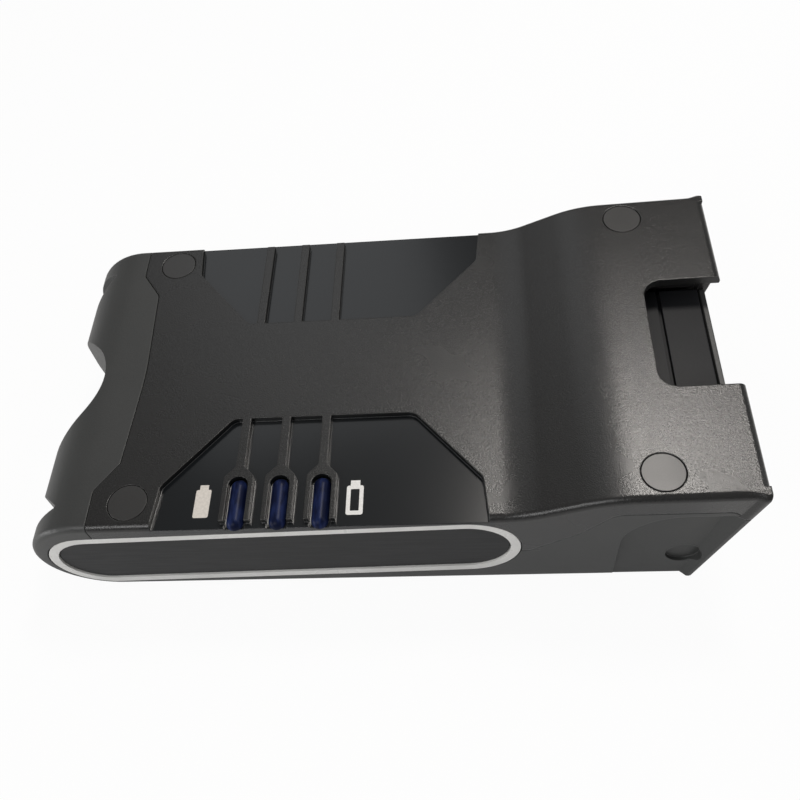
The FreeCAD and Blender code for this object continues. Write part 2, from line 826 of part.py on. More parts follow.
# Lower housing
def make_housing():
    body = new_body("lower_housing")
    outer_form(body)
    hollow(body)

    # Screw bosses from the floor up to the cover's bosses
    bosses = new_sketch(body, "bosses", "XY_Plane", wall / 2)
    for place in screw_places():
        circle(bosses, place, boss_radius)
    pad(body, "boss_pad", bosses, screw_seat - boss_step - wall / 2)

    # Parting: the housing keeps the grip end and what is below the seam
    above = new_sketch(body, "above_seam", "XZ_Plane")
    outline(above, seam_path(seam_gap) + [(FAR, FAR), (right_end - seam_rise_start, FAR)])
    pocket(body, "above_seam_cut", above, 2 * FAR, both_ways=True)
    grip = new_sketch(body, "cover_side", "XY_Plane", seam_height - seam_gap)
    far_right = right_end - seam_rise_start + wall
    outline(
        grip,
        grip_path(seam_gap) + [(far_right, top_half_width * 2), (far_right, -top_half_width * 2)],
    )
    pocket(body, "cover_side_cut", grip, FAR, reverse=True)

    # Side recesses that guide the pack, with a socket for the appliance's latch pin
    for side, name in ((-1, "front"), (1, "back")):
        sockets = new_sketch(body, f"{name}_socket", "XZ_Plane", -side * (recess_floor - bore_depth - bore_wall))
        circle(sockets, (right_end - bore_place, bore_height), bore_radius + bore_wall)
        pad(body, f"{name}_socket_pad", sockets, bore_depth + bore_wall - wall / 2, reverse=side > 0)
        recess = new_sketch(body, f"{name}_recess", "XZ_Plane", -side * recess_floor)
        outline(
            recess,
            [
                (right_end - recess_left, recess_low, recess_corner),
                (FAR, recess_low),
                (FAR, recess_high),
                (right_end - recess_left, recess_high, recess_corner),
            ],
        )
        pocket(body, f"{name}_recess_cut", recess, wall * 4, reverse=side < 0)
        bore = new_sketch(body, f"{name}_bore", "XZ_Plane", -side * (recess_floor - bore_depth))
        circle(bore, (right_end - bore_place, bore_height), bore_radius)
        pocket(body, f"{name}_bore_cut", bore, bore_depth + wall, reverse=side < 0)

    # Pilot holes in the bosses
    pilots = new_sketch(body, "pilots", "XY_Plane", screw_seat - screw_length - boss_step)
    for place in screw_places():
        circle(pilots, place, screw_radius + thread_clearance)
    pocket(body, "pilot_cut", pilots, screw_length + boss_step, reverse=True)

    # The end wall is a thin rim, set back, where the terminal block comes up to it
    reach = undercut_width / 2
    low = notch_floor - tongue_thickness - wall
    rim = new_sketch(body, "rim", "XZ_Plane")
    outline(
        rim,
        [
            (end_x(low) - rim_setback - rim_wall, low),
            (end_x(flat_height) - rim_setback - rim_wall, flat_height),
            (end_x(flat_height) - seam_gap, flat_height),
            (end_x(low) - seam_gap, low),
        ],
    )
    pad(body, "rim_pad", rim, 2 * reach - 2 * seam_gap, both_ways=True)
    back = new_sketch(body, "set_back", "XZ_Plane")
    outline(
        back,
        [
            (end_x(low) - rim_setback, low),
            (end_x(total_height) - rim_setback, total_height),
            (right_end + wall, total_height),
            (right_end + wall, low),
        ],
    )
    pocket(body, "set_back_cut", back, 2 * reach, both_ways=True)
    badge_pocket_cut(body)
    return body


# Badge: a raised ring round a bare plate, both leaning with the side
def make_badge():
    ring = new_body("badge_ring")
    sketch = badge_plane(ring, "ring", badge_pocket)
    badge_outline(sketch, 0.0)
    badge_outline(sketch, ring_width)
    pad(ring, "ring_pad", sketch, ring_thickness)
    plate = new_body("badge_plate")
    sketch = badge_plane(plate, "plate", badge_pocket)
    badge_outline(sketch, ring_width + badge_gap)
    pad(plate, "plate_pad", sketch, plate_thickness)


# Lenses, each a capsule with a leg that carries the light up from the board
def make_lenses():
    radius = lens_width / 2
    for number, x in enumerate(rib_places(), 1):
        body = new_body(f"led_lens_{number}")
        profile = new_sketch(body, "profile", "XY_Plane", lens_seat)
        half_stadium(profile, x, -lens_inner, -lens_outer, radius)
        turn = body.newObject("PartDesign::Revolution", "capsule")
        turn.Profile = profile
        turn.ReferenceAxis = (profile, ["Edge1"])
        turn.Angle = 180
        doc.recompute()
        leg = new_sketch(body, "leg", "XY_Plane", board_top + led_height + led_gap)
        leg_rectangle(leg, x, 0.0)
        pad(body, "leg_pad", leg, lens_seat + lens_leg_sink - board_top - led_height - led_gap)


def half_stadium(sketch, x, start, end, radius):
    """Half of a capsule's outline on its axis, from start to end along Y."""
    first = sketch.addGeometry(Part.LineSegment(flat((x, start)), flat((x, end))), False)
    near = flat((x, start - radius))
    away = flat((x, end + radius))
    quarter = math.pi / 2
    wide = radius.value
    straight = sketch.addGeometry(
        Part.LineSegment(away + Vector(wide, 0, 0), near + Vector(wide, 0, 0)), False
    )
    top = sketch.addGeometry(
        Part.ArcOfCircle(Part.Circle(near, Vector(0, 0, 1), wide), 0, quarter), False
    )
    low = sketch.addGeometry(
        Part.ArcOfCircle(Part.Circle(away, Vector(0, 0, 1), wide), 3 * quarter, 4 * quarter), False
    )
    fix_point(sketch, first, 1, (x, start))
    fix_point(sketch, first, 2, (x, end))
    fix_point(sketch, straight, 1, (x + radius, end + radius))
    fix_point(sketch, straight, 2, (x + radius, start - radius))
    sketch.addConstraint(Sketcher.Constraint("Tangent", straight, 2, top, 1))
    sketch.addConstraint(Sketcher.Constraint("Tangent", straight, 1, low, 2))
    sketch.addConstraint(Sketcher.Constraint("Coincident", top, 2, first, 1))
    sketch.addConstraint(Sketcher.Constraint("Coincident", low, 1, first, 2))


# Plugs over the screws, and the screws themselves
def make_plugs():
    tops = [flat_height, flat_height, raised_plug_z, raised_plug_z]
    for number, (place, top) in enumerate(zip(plug_places(), tops), 1):
        body = new_body(f"screw_plug_{number}")
        disc = new_sketch(body, "disc", "XY_Plane", top - plug_thickness)
        circle(disc, place, plug_radius)
        pad(body, "disc_pad", disc, plug_thickness)


def make_screws():
    """The four case screws, as one group of separate solids."""
    solids = []
    for number, (x, y) in enumerate(screw_places(), 1):
        shank = doc.addObject("Part::Cylinder", f"shank_{number}")
        bind(shank, "Radius", screw_radius)
        bind(shank, "Height", screw_length)
        bind(shank, ".Placement.Base.x", x)
        bind(shank, ".Placement.Base.y", y)
        bind(shank, ".Placement.Base.z", screw_seat - screw_length)
        head = doc.addObject("Part::Cylinder", f"head_{number}")
        bind(head, "Radius", screw_head_radius)
        bind(head, "Height", screw_head_height)
        bind(head, ".Placement.Base.x", x)
        bind(head, ".Placement.Base.y", y)
        bind(head, ".Placement.Base.z", screw_seat)
        screw = doc.addObject("Part::Fuse", f"screw_{number}")
        screw.Base = shank
        screw.Tool = head
        solids.append(screw)
    group = doc.addObject("Part::Compound", "case_screws")
    group.Label = "case_screws"
    group.Links = solids
    return group


# Cells
def make_cells():
    """Round cells across the pack, each turned end for end from its neighbour."""
    for number in range(cell_count):
        body = new_body(f"cell_{number + 1}")
        profile = new_sketch(body, "profile", "XY_Plane")
        groove = cell_half - cell_button_height - cell_groove_place
        can_top = cell_half - cell_button_height
        outline(
            profile,
            [
                (0.0, -cell_half),
                (cell_radius, -cell_half, cell_groove_depth),
                (cell_radius, groove - cell_groove_width),
                (cell_radius - cell_groove_depth, groove - cell_groove_width / 2),
                (cell_radius, groove),
                (cell_radius, can_top, cell_groove_depth),
                (cell_button_radius, can_top),
                (cell_button_radius, cell_half),
                (0.0, cell_half),
            ],
        )
        turn = body.newObject("PartDesign::Revolution", "can")
        turn.Profile = profile
        turn.ReferenceAxis = (profile, ["V_Axis"])
        turn.Angle = 360
        bind(body, ".Placement.Base.x", first_cell_x + cell_pitch * number)
        bind(body, ".Placement.Base.z", cell_middle_z)
        body.setExpression(".Placement.Rotation.Axis.z", "1")
        body.setExpression(".Placement.Rotation.Angle", str(180 * (number % 2)))
        doc.recompute()


def linked_pairs(side):
    """Which neighbours a strip joins on one side; an end cell stands alone."""
    if side < 0:
        return [(0, 1), (2, 3), (4, 5), (6, 6)]
    return [(0, 0), (1, 2), (3, 4), (5, 6)]


def strip_span(pair):
    """The strip's two ends and the middle of its board tab."""
    first = first_cell_x + cell_pitch * pair[0]
    last = first_cell_x + cell_pitch * pair[1]
    if pair[0] != pair[1]:
        return first, last, (first + last) / 2
    shift = tab_offset if pair[0] == 0 else -tab_offset
    return first, last, first + shift


def strip_outline(sketch, pair, clearance, top):
    """A strip with round corners and one narrow tab up to the board."""
    first, last, tab = strip_span(pair)
    half = strip_width / 2 + clearance
    neck = tab_width / 2 + clearance
    reach = tab_offset + tab_width / 2 + clearance if pair[0] == pair[1] else half
    low = cell_middle_z - half
    high = cell_middle_z + half
    outline(
        sketch,
        [
            (first - reach, low),
            (last + reach, low),
            (last + reach, high),
            (tab + neck, high),
            (tab + neck, top),
            (tab - neck, top),
            (tab - neck, high),
            (first - reach, high),
        ]
        if pair[0] != pair[1]
        else end_strip(first, tab, half, neck, low, high, top),
    )


def end_strip(middle, tab, half, neck, low, high, top):
    """The strip of an end cell, with its tab level with one edge."""
    if tab.value > middle.value:
        return [
            (middle - half, low),
            (tab + neck, low),
            (tab + neck, top),
            (tab - neck, top),
            (tab - neck, high),
            (middle - half, high),
        ]
    return [
        (tab - neck, low),
        (middle + half, low),
        (middle + half, high),
        (tab + neck, high),
        (tab + neck, top),
        (tab - neck, top),
    ]


def make_strips():
    number = 0
    for side in (-1, 1):
        for pair in linked_pairs(side):
            number += 1
            body = new_body(f"cell_strip_{number}")
            sketch = new_sketch(body, "strip", "XZ_Plane", -side * cell_half)
            strip_outline(sketch, pair, 0.0, board_top + strip_thickness)
            pad(body, "strip_pad", sketch, strip_thickness, reverse=side > 0)
            foot = new_sketch(body, "foot", "XY_Plane", board_top)
            tab = strip_span(pair)[2]
            rectangle(
                foot,
                (tab - tab_width / 2, side * (cell_half - tab_foot)),
                (tab + tab_width / 2, side * (cell_half + strip_thickness)),
            )
            pad(body, "foot_pad", foot, strip_thickness)


def make_holders():
    """End plates that hold the cells, open where the strips reach them."""
    for side, name in ((-1, "front"), (1, "back")):
        body = new_body(f"cell_holder_{name}")
        left = first_cell_x - cell_radius - holder_margin
        right = first_cell_x + cell_pitch * (cell_count - 1) + cell_radius + holder_margin
        plate = new_sketch(body, "plate", "XZ_Plane", -side * (holder_outer - holder_depth))
        rectangle(plate, (left, wall), (right, holder_top), holder_margin)
        pad(body, "plate_pad", plate, holder_depth, reverse=side > 0)
        seats = new_sketch(body, "seats", "XZ_Plane", -side * cell_half)
        for number in range(cell_count):
            place = (first_cell_x + cell_pitch * number, cell_middle_z)
            circle(seats, place, cell_radius + holder_clearance)
        pocket(body, "seat_cut", seats, holder_depth, reverse=side > 0)
        for number, pair in enumerate(linked_pairs(side), 1):
            window = new_sketch(body, f"window_{number}", "XZ_Plane", -side * holder_outer)
            strip_outline(window, pair, strip_clearance, holder_top + wall)
            pocket(body, f"window_cut_{number}", window, holder_lip, reverse=side > 0)
        sheet_body = new_body(f"insulator_{name}")
        paper = new_sketch(sheet_body, "paper", "XZ_Plane", -side * holder_outer)
        rectangle(paper, (left, wall), (right, holder_top), holder_margin)
        pad(sheet_body, "paper_pad", paper, insulator_thickness, reverse=side > 0)


# Electronics
def make_box(name, low, high):
    """A block with bound corners."""
    box = doc.addObject("Part::Box", name)
    box.Label = name
    for axis, field in enumerate(("Length", "Width", "Height")):
        bind(box, field, high[axis] - low[axis])
    for axis, letter in enumerate("xyz"):
        bind(box, f".Placement.Base.{letter}", low[axis])
    return box


def standing(name, x, y, length, width, height):
    """A flat component soldered on the board."""
    return make_box(
        name,
        (x - length / 2, y - width / 2, board_top),
        (x + length / 2, y + width / 2, board_top + height),
    )


def gather(name, pieces):
    group = doc.addObject("Part::Compound", name)
    group.Label = name
    group.Links = pieces
    return group


def make_board():
    body = new_body("control_board")
    plan = new_sketch(body, "plan", "XY_Plane", holder_top)
    left = left_end + board_left
    right = right_end - board_right
    outline(
        plan,
        [
            (left, board_reach, screw_radius),
            (left, -board_reach, screw_radius),
            (-rib_middle - board_tab_reach, -board_reach),
            (-rib_middle - board_tab_reach, -board_tab_edge, screw_radius),
            (-rib_middle + board_tab_reach, -board_tab_edge, screw_radius),
            (-rib_middle + board_tab_reach, -board_reach),
            (right, -board_reach, screw_radius),
            (right, board_reach, screw_radius),
        ],
    )
    pad(body, "plan_pad", plan, board_thickness)

    middle = as_size(0.0)
    standing("controller_chip", -rib_middle, middle, chip_width, chip_width, chip_height)
    standing("monitor_chip", -rib_middle - chip_width * 2, middle, chip_width, chip_width, chip_height)
    mosfets = [
        standing(f"mosfet_part_{i}", mosfet_pitch * (i - 0.5), -chip_width * 2, mosfet_width, mosfet_length, mosfet_height)
        for i in range(4)
    ]
    gather("mosfets", mosfets)
    standing("fuse", mosfet_pitch, chip_width * 2, fuse_length, fuse_width, fuse_height)
    standing("shunt_resistor", mosfet_pitch, middle, shunt_length, shunt_width, shunt_height)
    leds = [
        standing(f"led_part_{i}", x, leg_middle(), led_length, led_width, led_height)
        for i, x in enumerate(rib_places(), 1)
    ]
    gather("status_leds", leds)
    capacitors = []
    for i, sign in enumerate((-1, 1), 1):
        can = doc.addObject("Part::Cylinder", f"capacitor_part_{i}")
        bind(can, "Radius", capacitor_radius)
        bind(can, "Height", capacitor_height)
        bind(can, ".Placement.Base.x", crest_x - capacitor_radius * 2)
        bind(can, ".Placement.Base.y", sign * capacitor_radius * 3)
        bind(can, ".Placement.Base.z", board_top)
        capacitors.append(can)
    gather("capacitors", capacitors)


def make_small_parts():
    """The foam the cells lie on, and the thermistor in the valley between two cells."""
    make_box(
        "foam_pad",
        (first_cell_x - cell_radius, -foam_reach, wall),
        (last_cell_x + cell_radius, foam_reach, wall + foam_thickness),
    )
    middle = first_cell_x + cell_pitch * 3.5
    bead = doc.addObject("Part::Sphere", "bead_part")
    bind(bead, "Radius", thermistor_radius)
    bind(bead, ".Placement.Base.x", middle)
    bind(bead, ".Placement.Base.z", holder_top - thermistor_drop)
    pieces = [bead]
    for number, sign in enumerate((-1, 1), 1):
        lead = doc.addObject("Part::Cylinder", f"lead_part_{number}")
        bind(lead, "Radius", thermistor_lead)
        bind(lead, "Height", thermistor_drop)
        bind(lead, ".Placement.Base.x", middle + sign * thermistor_radius / 2)
        bind(lead, ".Placement.Base.z", holder_top - thermistor_drop)
        pieces.append(lead)
    whole = doc.addObject("Part::MultiFuse", "thermistor")
    whole.Label = "thermistor"
    whole.Shapes = pieces


def leg_middle():
    return -lens_inner - lens_leg_clearance * 2 - lens_leg_length / 2


# Terminals
def make_terminals():
    """A moulded block whose face closes the notch and whose tongue makes its floor."""
    face = notch_x - block_face_gap
    half = undercut_width / 2 - screw_clearance
    body = new_body("terminal_block")
    side = new_sketch(body, "side", "XZ_Plane")
    groove = notch_x + tongue_groove_place
    outline(
        side,
        [
            (face - block_length, board_top),
            (face, board_top),
            (face, notch_floor - tongue_thickness),
            (rim_inner - block_gap - tongue_thickness * end_slope, notch_floor - tongue_thickness),
            (rim_inner - block_gap, notch_floor),
            (groove + tongue_groove, notch_floor),
            (groove + tongue_groove, notch_floor - tongue_groove_depth),
            (groove, notch_floor - tongue_groove_depth),
            (groove, notch_floor),
            (face, notch_floor),
            (face, total_height - block_drop),
            (face - block_length, total_height - block_drop - (raise_height - crest_height)),
        ],
    )
    pad(body, "side_pad", side, 2 * half, both_ways=True)
    slots = new_sketch(body, "slots", "YZ_Plane", face - contact_slot_depth)
    low = notch_floor + contact_inset / 2
    for place in contact_places():
        rectangle(slots, (place - contact_slot / 2, low), (place + contact_slot / 2, low + contact_slot_height))
    pocket(body, "slot_cut", slots, contact_slot_depth + wall, reverse=True)
    shafts = new_sketch(body, "shafts", "XY_Plane", board_top)
    back = face - contact_slot_depth
    for place in contact_places():
        rectangle(
            shafts,
            (back, place - contact_slot / 2),
            (back + contact_slot, place + contact_slot / 2),
        )
    pocket(body, "shaft_cut", shafts, low + contact_slot_height - board_top, reverse=True)
    blades = []
    for number, place in enumerate(contact_places(), 1):
        blade = make_box(
            f"blade_part_{number}",
            (back + contact_inset / 2, place - contact_thickness / 2, low + contact_inset / 2),
            (face - contact_inset, place + contact_thickness / 2, low + contact_slot_height - contact_inset / 2),
        )
        leg = make_box(
            f"leg_part_{number}",
            (back + contact_inset / 2, place - contact_thickness / 2, board_top),
            (
                back + contact_inset / 2 + contact_thickness,
                place + contact_thickness / 2,
                low + contact_slot_height - contact_inset / 2,
            ),
        )
        contact = doc.addObject("Part::Fuse", f"contact_part_{number}")
        contact.Base = blade
        contact.Tool = leg
        blades.append(contact)
    gather("terminal_contacts", blades)


def contact_places():
    return [contact_pitch * (i - (contact_count - 1) / 2) for i in range(contact_count)]


GROUPS = ("Part::Compound", "Part::Box", "Part::MultiFuse")


def main():
    make_housing()
    make_cover()
    make_badge()
    make_lenses()
    make_plugs()
    make_screws()
    make_cells()
    make_strips()
    make_holders()
    make_board()
    make_terminals()
    make_small_parts()
    doc.recompute()
    write_parts()


def write_parts():
    """Check every object, then write each sub-part to a file named after it."""
    os.makedirs("parts", exist_ok=True)
    for thing in doc.Objects:
        if "Invalid" in thing.State or "Error" in thing.State:
            failures.append(f"{thing.Label} did not compute")
    kept = []
    for thing in doc.Objects:
        if thing.TypeId == "PartDesign::Body":
            kept.append(thing)
        elif thing.TypeId in GROUPS and "_part_" not in thing.Label:
            kept.append(thing)
    for thing in kept:
        if thing.Shape.isNull() or not thing.Shape.isValid():
            failures.append(f"{thing.Label} has no valid shape")
    if failures:
        raise RuntimeError("; ".join(failures))
    for thing in kept:
        thing.Shape.exportStep(f"parts/{thing.Label}.step")
    print(len(kept), "sub-parts written")


main()
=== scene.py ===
"""A rechargeable battery pack for a vacuum cleaner, dressed with procedural materials."""

import json
import math

import bmesh
import bpy
from mathutils import Matrix, Vector


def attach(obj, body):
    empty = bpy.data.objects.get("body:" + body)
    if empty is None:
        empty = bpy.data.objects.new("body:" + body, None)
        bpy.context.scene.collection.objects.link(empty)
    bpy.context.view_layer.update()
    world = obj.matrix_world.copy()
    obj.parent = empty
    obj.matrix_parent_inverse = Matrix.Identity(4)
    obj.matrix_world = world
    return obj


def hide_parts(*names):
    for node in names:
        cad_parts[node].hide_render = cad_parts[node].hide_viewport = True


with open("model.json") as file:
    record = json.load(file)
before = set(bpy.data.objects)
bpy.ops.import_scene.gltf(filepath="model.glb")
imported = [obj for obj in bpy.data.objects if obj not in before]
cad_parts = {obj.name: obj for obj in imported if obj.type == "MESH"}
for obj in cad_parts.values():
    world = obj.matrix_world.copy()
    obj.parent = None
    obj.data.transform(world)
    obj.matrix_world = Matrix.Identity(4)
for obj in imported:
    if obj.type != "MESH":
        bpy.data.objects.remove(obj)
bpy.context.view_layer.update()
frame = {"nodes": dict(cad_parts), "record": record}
nodes = frame["nodes"]
MM = 0.001
WHITE = (1.0, 1.0, 1.0, 1.0)


# Node helpers


class Shader:
    """A material's node tree with short calls for the nodes that this part uses."""

    def __init__(self, name):
        self.material = bpy.data.materials.new(name)
        self.material.use_nodes = True
        self.tree = self.material.node_tree
        self.bsdf = self.tree.nodes["Principled BSDF"]
        self.place = self.node("ShaderNodeTexCoord")

    def node(self, kind, **settings):
        made = self.tree.nodes.new(kind)
        for key, value in settings.items():
            setattr(made, key, value)
        return made

    def link(self, source, target):
        self.tree.links.new(source, target)

    def put(self, value, socket):
        """Sets a socket to a number or joins it to another node's output."""
        if isinstance(value, bpy.types.NodeSocket):
            self.link(value, socket)
        else:
            socket.default_value = value

    def math(self, operation, first, second=0.0, clamp=False):
        made = self.node("ShaderNodeMath", operation=operation, use_clamp=clamp)
        self.put(first, made.inputs[0])
        self.put(second, made.inputs[1])
        return made.outputs[0]

    def ramp(self, value, low, high, first=0.0, last=1.0):
        """A smooth step from first to last while the value goes from low to high."""
        made = self.node("ShaderNodeMapRange", interpolation_type="SMOOTHSTEP")
        self.put(value, made.inputs["Value"])
        made.inputs["From Min"].default_value = low
        made.inputs["From Max"].default_value = high
        made.inputs["To Min"].default_value = first
        made.inputs["To Max"].default_value = last
        return made.outputs["Result"]

    def mix(self, amount, first, second):
        """A colour between two colours."""
        made = self.node("ShaderNodeMix", data_type="RGBA")
        self.put(amount, made.inputs[0])
        self.put(colour(first), made.inputs[6])
        self.put(colour(second), made.inputs[7])
        return made.outputs[2]

    def blend(self, amount, first, second):
        """A number between two numbers."""
        made = self.node("ShaderNodeMix", data_type="FLOAT")
        self.put(amount, made.inputs[0])
        self.put(first, made.inputs[2])
        self.put(second, made.inputs[3])
        return made.outputs[0]

    def axes(self, source="Object"):
        made = self.node("ShaderNodeSeparateXYZ")
        self.link(self.place.outputs[source], made.inputs[0])
        return made.outputs[0], made.outputs[1], made.outputs[2]

    def stretched(self, scale):
        made = self.node("ShaderNodeMapping")
        self.link(self.place.outputs["Object"], made.inputs["Vector"])
        made.inputs["Scale"].default_value = scale
        return made.outputs[0]

    def noise(self, scale, detail=2.0, roughness=0.5, vector=None):
        made = self.node("ShaderNodeTexNoise")
        self.link(vector or self.place.outputs["Object"], made.inputs["Vector"])
        made.inputs["Scale"].default_value = scale
        made.inputs["Detail"].default_value = detail
        made.inputs["Roughness"].default_value = roughness
        return made.outputs["Fac"]

    def cells(self, scale):
        made = self.node("ShaderNodeTexVoronoi", feature="F1")
        self.link(self.place.outputs["Object"], made.inputs["Vector"])
        made.inputs["Scale"].default_value = scale
        return made.outputs["Distance"]

    def soft_edges(self, radius):
        """A normal that is rounded over near edges."""
        made = self.node("ShaderNodeBevel", samples=8)
        made.inputs["Radius"].default_value = radius
        return made.outputs[0]

    def edge_wear_and_highlight(self, normal, amount):
        """Up to the given amount where the rounded normal is turned from the plain one: both rub
        wear and a painted highlight along the edges.
        """
        plain = self.node("ShaderNodeNewGeometry")
        match = self.node("ShaderNodeVectorMath", operation="DOT_PRODUCT")
        self.link(normal, match.inputs[0])
        self.link(plain.outputs["Normal"], match.inputs[1])
        turned = self.math("SUBTRACT", 1.0, match.outputs["Value"], clamp=True)
        return self.math("MULTIPLY", self.ramp(turned, 0.01, 0.30), amount)

    def bump(self, height, strength, distance, normal=None):
        made = self.node("ShaderNodeBump")
        self.put(height, made.inputs["Height"])
        self.put(strength, made.inputs["Strength"])
        made.inputs["Distance"].default_value = distance
        if normal is not None:
            self.link(normal, made.inputs["Normal"])
        return made.outputs[0]

    def finish(self, base, roughness, normal, **sockets):
        self.put(colour(base), self.bsdf.inputs["Base Color"])
        self.put(roughness, self.bsdf.inputs["Roughness"])
        self.link(normal, self.bsdf.inputs["Normal"])
        for key, value in sockets.items():
            self.put(value, self.bsdf.inputs[key.replace("_", " ")])
        return self.material


def colour(value):
    """Three numbers become a colour; anything else stays as it is."""
    if isinstance(value, tuple) and len(value) == 3:
        return (*value, 1.0)
    return value


def scaled(base, factor, lift=0.0):
    """A colour made darker or lighter, at most 1 in each part."""
    return tuple(min(1.0, part * factor + lift) for part in base)


# Moulded plastics

CLOUD_SCALE = 38.0
SPECKLE_SHARE = 0.35
SPECKLE_RANGE = (0.35, 0.7)

# The recessed panels of the cover lie between these heights and lengths, in millimetres
PANEL_BOTTOM = 28.9
PANEL_FADE = (30.7, 31.8)
PANEL_ENDS = (-50.6, 26.6)


def moulded(
    name, base, roughness, grain, depth=0.16, edge=0.3, edge_radius=0.3, spread=0.14, shine=0.5
):
    """A textured moulding: spark-eroded grain, slow random shifts of the colour, and edges
    lightened as both rub wear and a painted highlight.
    """
    shader = Shader(name)
    slow = shader.noise(CLOUD_SCALE, detail=3.0)
    fine = shader.noise(grain, detail=3.0, roughness=0.6)
    tone = shader.mix(slow, scaled(base, 1.0 - spread), scaled(base, 1.0 + spread))
    speckle = shader.math("MULTIPLY", shader.ramp(fine, *SPECKLE_RANGE), SPECKLE_SHARE)
    tone = shader.mix(speckle, tone, scaled(base, 1.45))
    normal = shader.soft_edges(edge_radius * MM)
    edge_wear_and_highlight = shader.edge_wear_and_highlight(normal, edge)
    # Painted highlight along the edges, which also stands for rub wear: the colour is lightened
    # there.
    tone = shader.mix(edge_wear_and_highlight, tone, scaled(base, 2.6, 0.02))
    gloss = shader.ramp(slow, 0.25, 0.75, roughness - 0.03, roughness + 0.05)
    gloss = shader.blend(edge_wear_and_highlight, gloss, roughness * 0.7)
    normal = shader.bump(fine, depth, 0.06 * MM, normal)
    return shader.finish(tone, gloss, normal, Specular_IOR_Level=shine)


def cover_plastic():
    """The cover: satin grain on top, and smoother, darker floors in the two recessed panels."""
    shader = Shader("cover_grain")
    x, _, z = shader.axes()
    slow = shader.noise(CLOUD_SCALE, detail=3.0)
    fine = shader.noise(3300.0, detail=2.0, roughness=0.6)
    above = shader.math("GREATER_THAN", z, PANEL_BOTTOM * MM)
    below = shader.ramp(z, PANEL_FADE[0] * MM, PANEL_FADE[1] * MM, 1.0, 0.0)
    left = shader.math("GREATER_THAN", x, PANEL_ENDS[0] * MM)
    right = shader.math("LESS_THAN", x, PANEL_ENDS[1] * MM)
    in_height = shader.math("MULTIPLY", above, below)
    in_length = shader.math("MULTIPLY", left, right)
    panel = shader.math("MULTIPLY", in_height, in_length)
    upper = shader.mix(slow, (0.0112, 0.0110, 0.0108), (0.0158, 0.0156, 0.0153))
    speckle = shader.math("MULTIPLY", shader.ramp(fine, *SPECKLE_RANGE), SPECKLE_SHARE)
    upper = shader.mix(speckle, upper, (0.028, 0.0275, 0.0268))
    floor = shader.mix(slow, (0.0050, 0.0060, 0.0070), (0.0070, 0.0083, 0.0097))
    tone = shader.mix(panel, upper, floor)
    normal = shader.soft_edges(0.35 * MM)
    edge_wear_and_highlight = shader.edge_wear_and_highlight(normal, 0.42)
    # Painted highlight along the edges, which also stands for rub wear: the colour is lightened
    # there.
    tone = shader.mix(edge_wear_and_highlight, tone, (0.15, 0.148, 0.145))
    gloss = shader.ramp(slow, 0.25, 0.75, 0.25, 0.285)
    gloss = shader.blend(panel, gloss, 0.19)
    gloss = shader.blend(edge_wear_and_highlight, gloss, 0.28)
    strength = shader.blend(panel, 1.0, 0.05)
    normal = shader.bump(fine, strength, 0.05 * MM, normal)
    return shader.finish(tone, gloss, normal)


def lens_plastic():
    """Tinted navy lens: streaks of lighter blue inside a polished skin."""
    shader = Shader("lens_tint")
    streak = shader.noise(900.0, detail=2.0, vector=shader.stretched((1.0, 0.22, 0.4)))
    depth = shader.ramp(streak, 0.38, 0.66)
    tone = shader.mix(depth, (0.0040, 0.0065, 0.025), (0.0110, 0.0190, 0.0700))
    normal = shader.bump(streak, 0.04, 0.1 * MM)
    return shader.finish(tone, 0.36, normal, Specular_IOR_Level=0.09)


def ring_plastic():
    """Off-white satin moulding with faint greying where it is handled."""
    shader = Shader("ring_satin")
    slow = shader.noise(60.0, detail=4.0, roughness=0.6)
    fine = shader.noise(3000.0, detail=2.0)
    grey = shader.ramp(slow, 0.35, 0.75)
    tone = shader.mix(grey, (0.78, 0.775, 0.755), (0.68, 0.675, 0.655))
    normal = shader.bump(fine, 0.04, 0.03 * MM, shader.soft_edges(0.15 * MM))
    gloss = shader.ramp(slow, 0.3, 0.7, 0.26, 0.34)
    return shader.finish(tone, gloss, normal)


def plate_plastic():
    """The bare plate: dark satin with very fine scuffs along its length."""
    shader = Shader("plate_satin")
    slow = shader.noise(45.0, detail=3.0)
    along = shader.stretched((0.06, 1.0, 1.0))
    scuff = shader.noise(1400.0, detail=4.0, roughness=0.7, vector=along)
    tone = shader.mix(slow, (0.011, 0.0112, 0.012), (0.016, 0.0163, 0.0172))
    tone = shader.mix(shader.ramp(scuff, 0.55, 0.8, 0.0, 0.35), tone, (0.034, 0.034, 0.0355))
    gloss = shader.ramp(scuff, 0.3, 0.75, 0.34, 0.44)
    normal = shader.bump(scuff, 0.05, 0.02 * MM, shader.soft_edges(0.12 * MM))
    return shader.finish(tone, gloss, normal, Specular_IOR_Level=0.2)


def ink(name, scale, thick, thin, matt, satin):
    """Pad-printed ink with thin spots."""
    shader = Shader(name)
    spots = shader.noise(scale, detail=3.0)
    tone = shader.mix(shader.ramp(spots, 0.3, 0.7), thick, thin)
    normal = shader.bump(spots, 0.1, 0.02 * MM)
    return shader.finish(tone, shader.ramp(spots, 0.3, 0.7, matt, satin), normal)


# Metals


def metal(name, base, roughness, stretch=(1.0, 0.1, 1.0), stain=0.25):
    """A plated metal with drawn scratches and a slow stain."""
    shader = Shader(name)
    slow = shader.noise(160.0, detail=4.0, roughness=0.6)
    drawn = shader.noise(1500.0, detail=3.0, roughness=0.6, vector=shader.stretched(stretch))
    tone = shader.mix(shader.ramp(slow, 0.4, 0.8, 0.0, stain), base, scaled(base, 0.55))
    gloss = shader.ramp(drawn, 0.3, 0.7, roughness * 0.8, roughness * 1.25)
    normal = shader.bump(drawn, 0.08, 0.02 * MM)
    return shader.finish(tone, gloss, normal, Metallic=1.0)


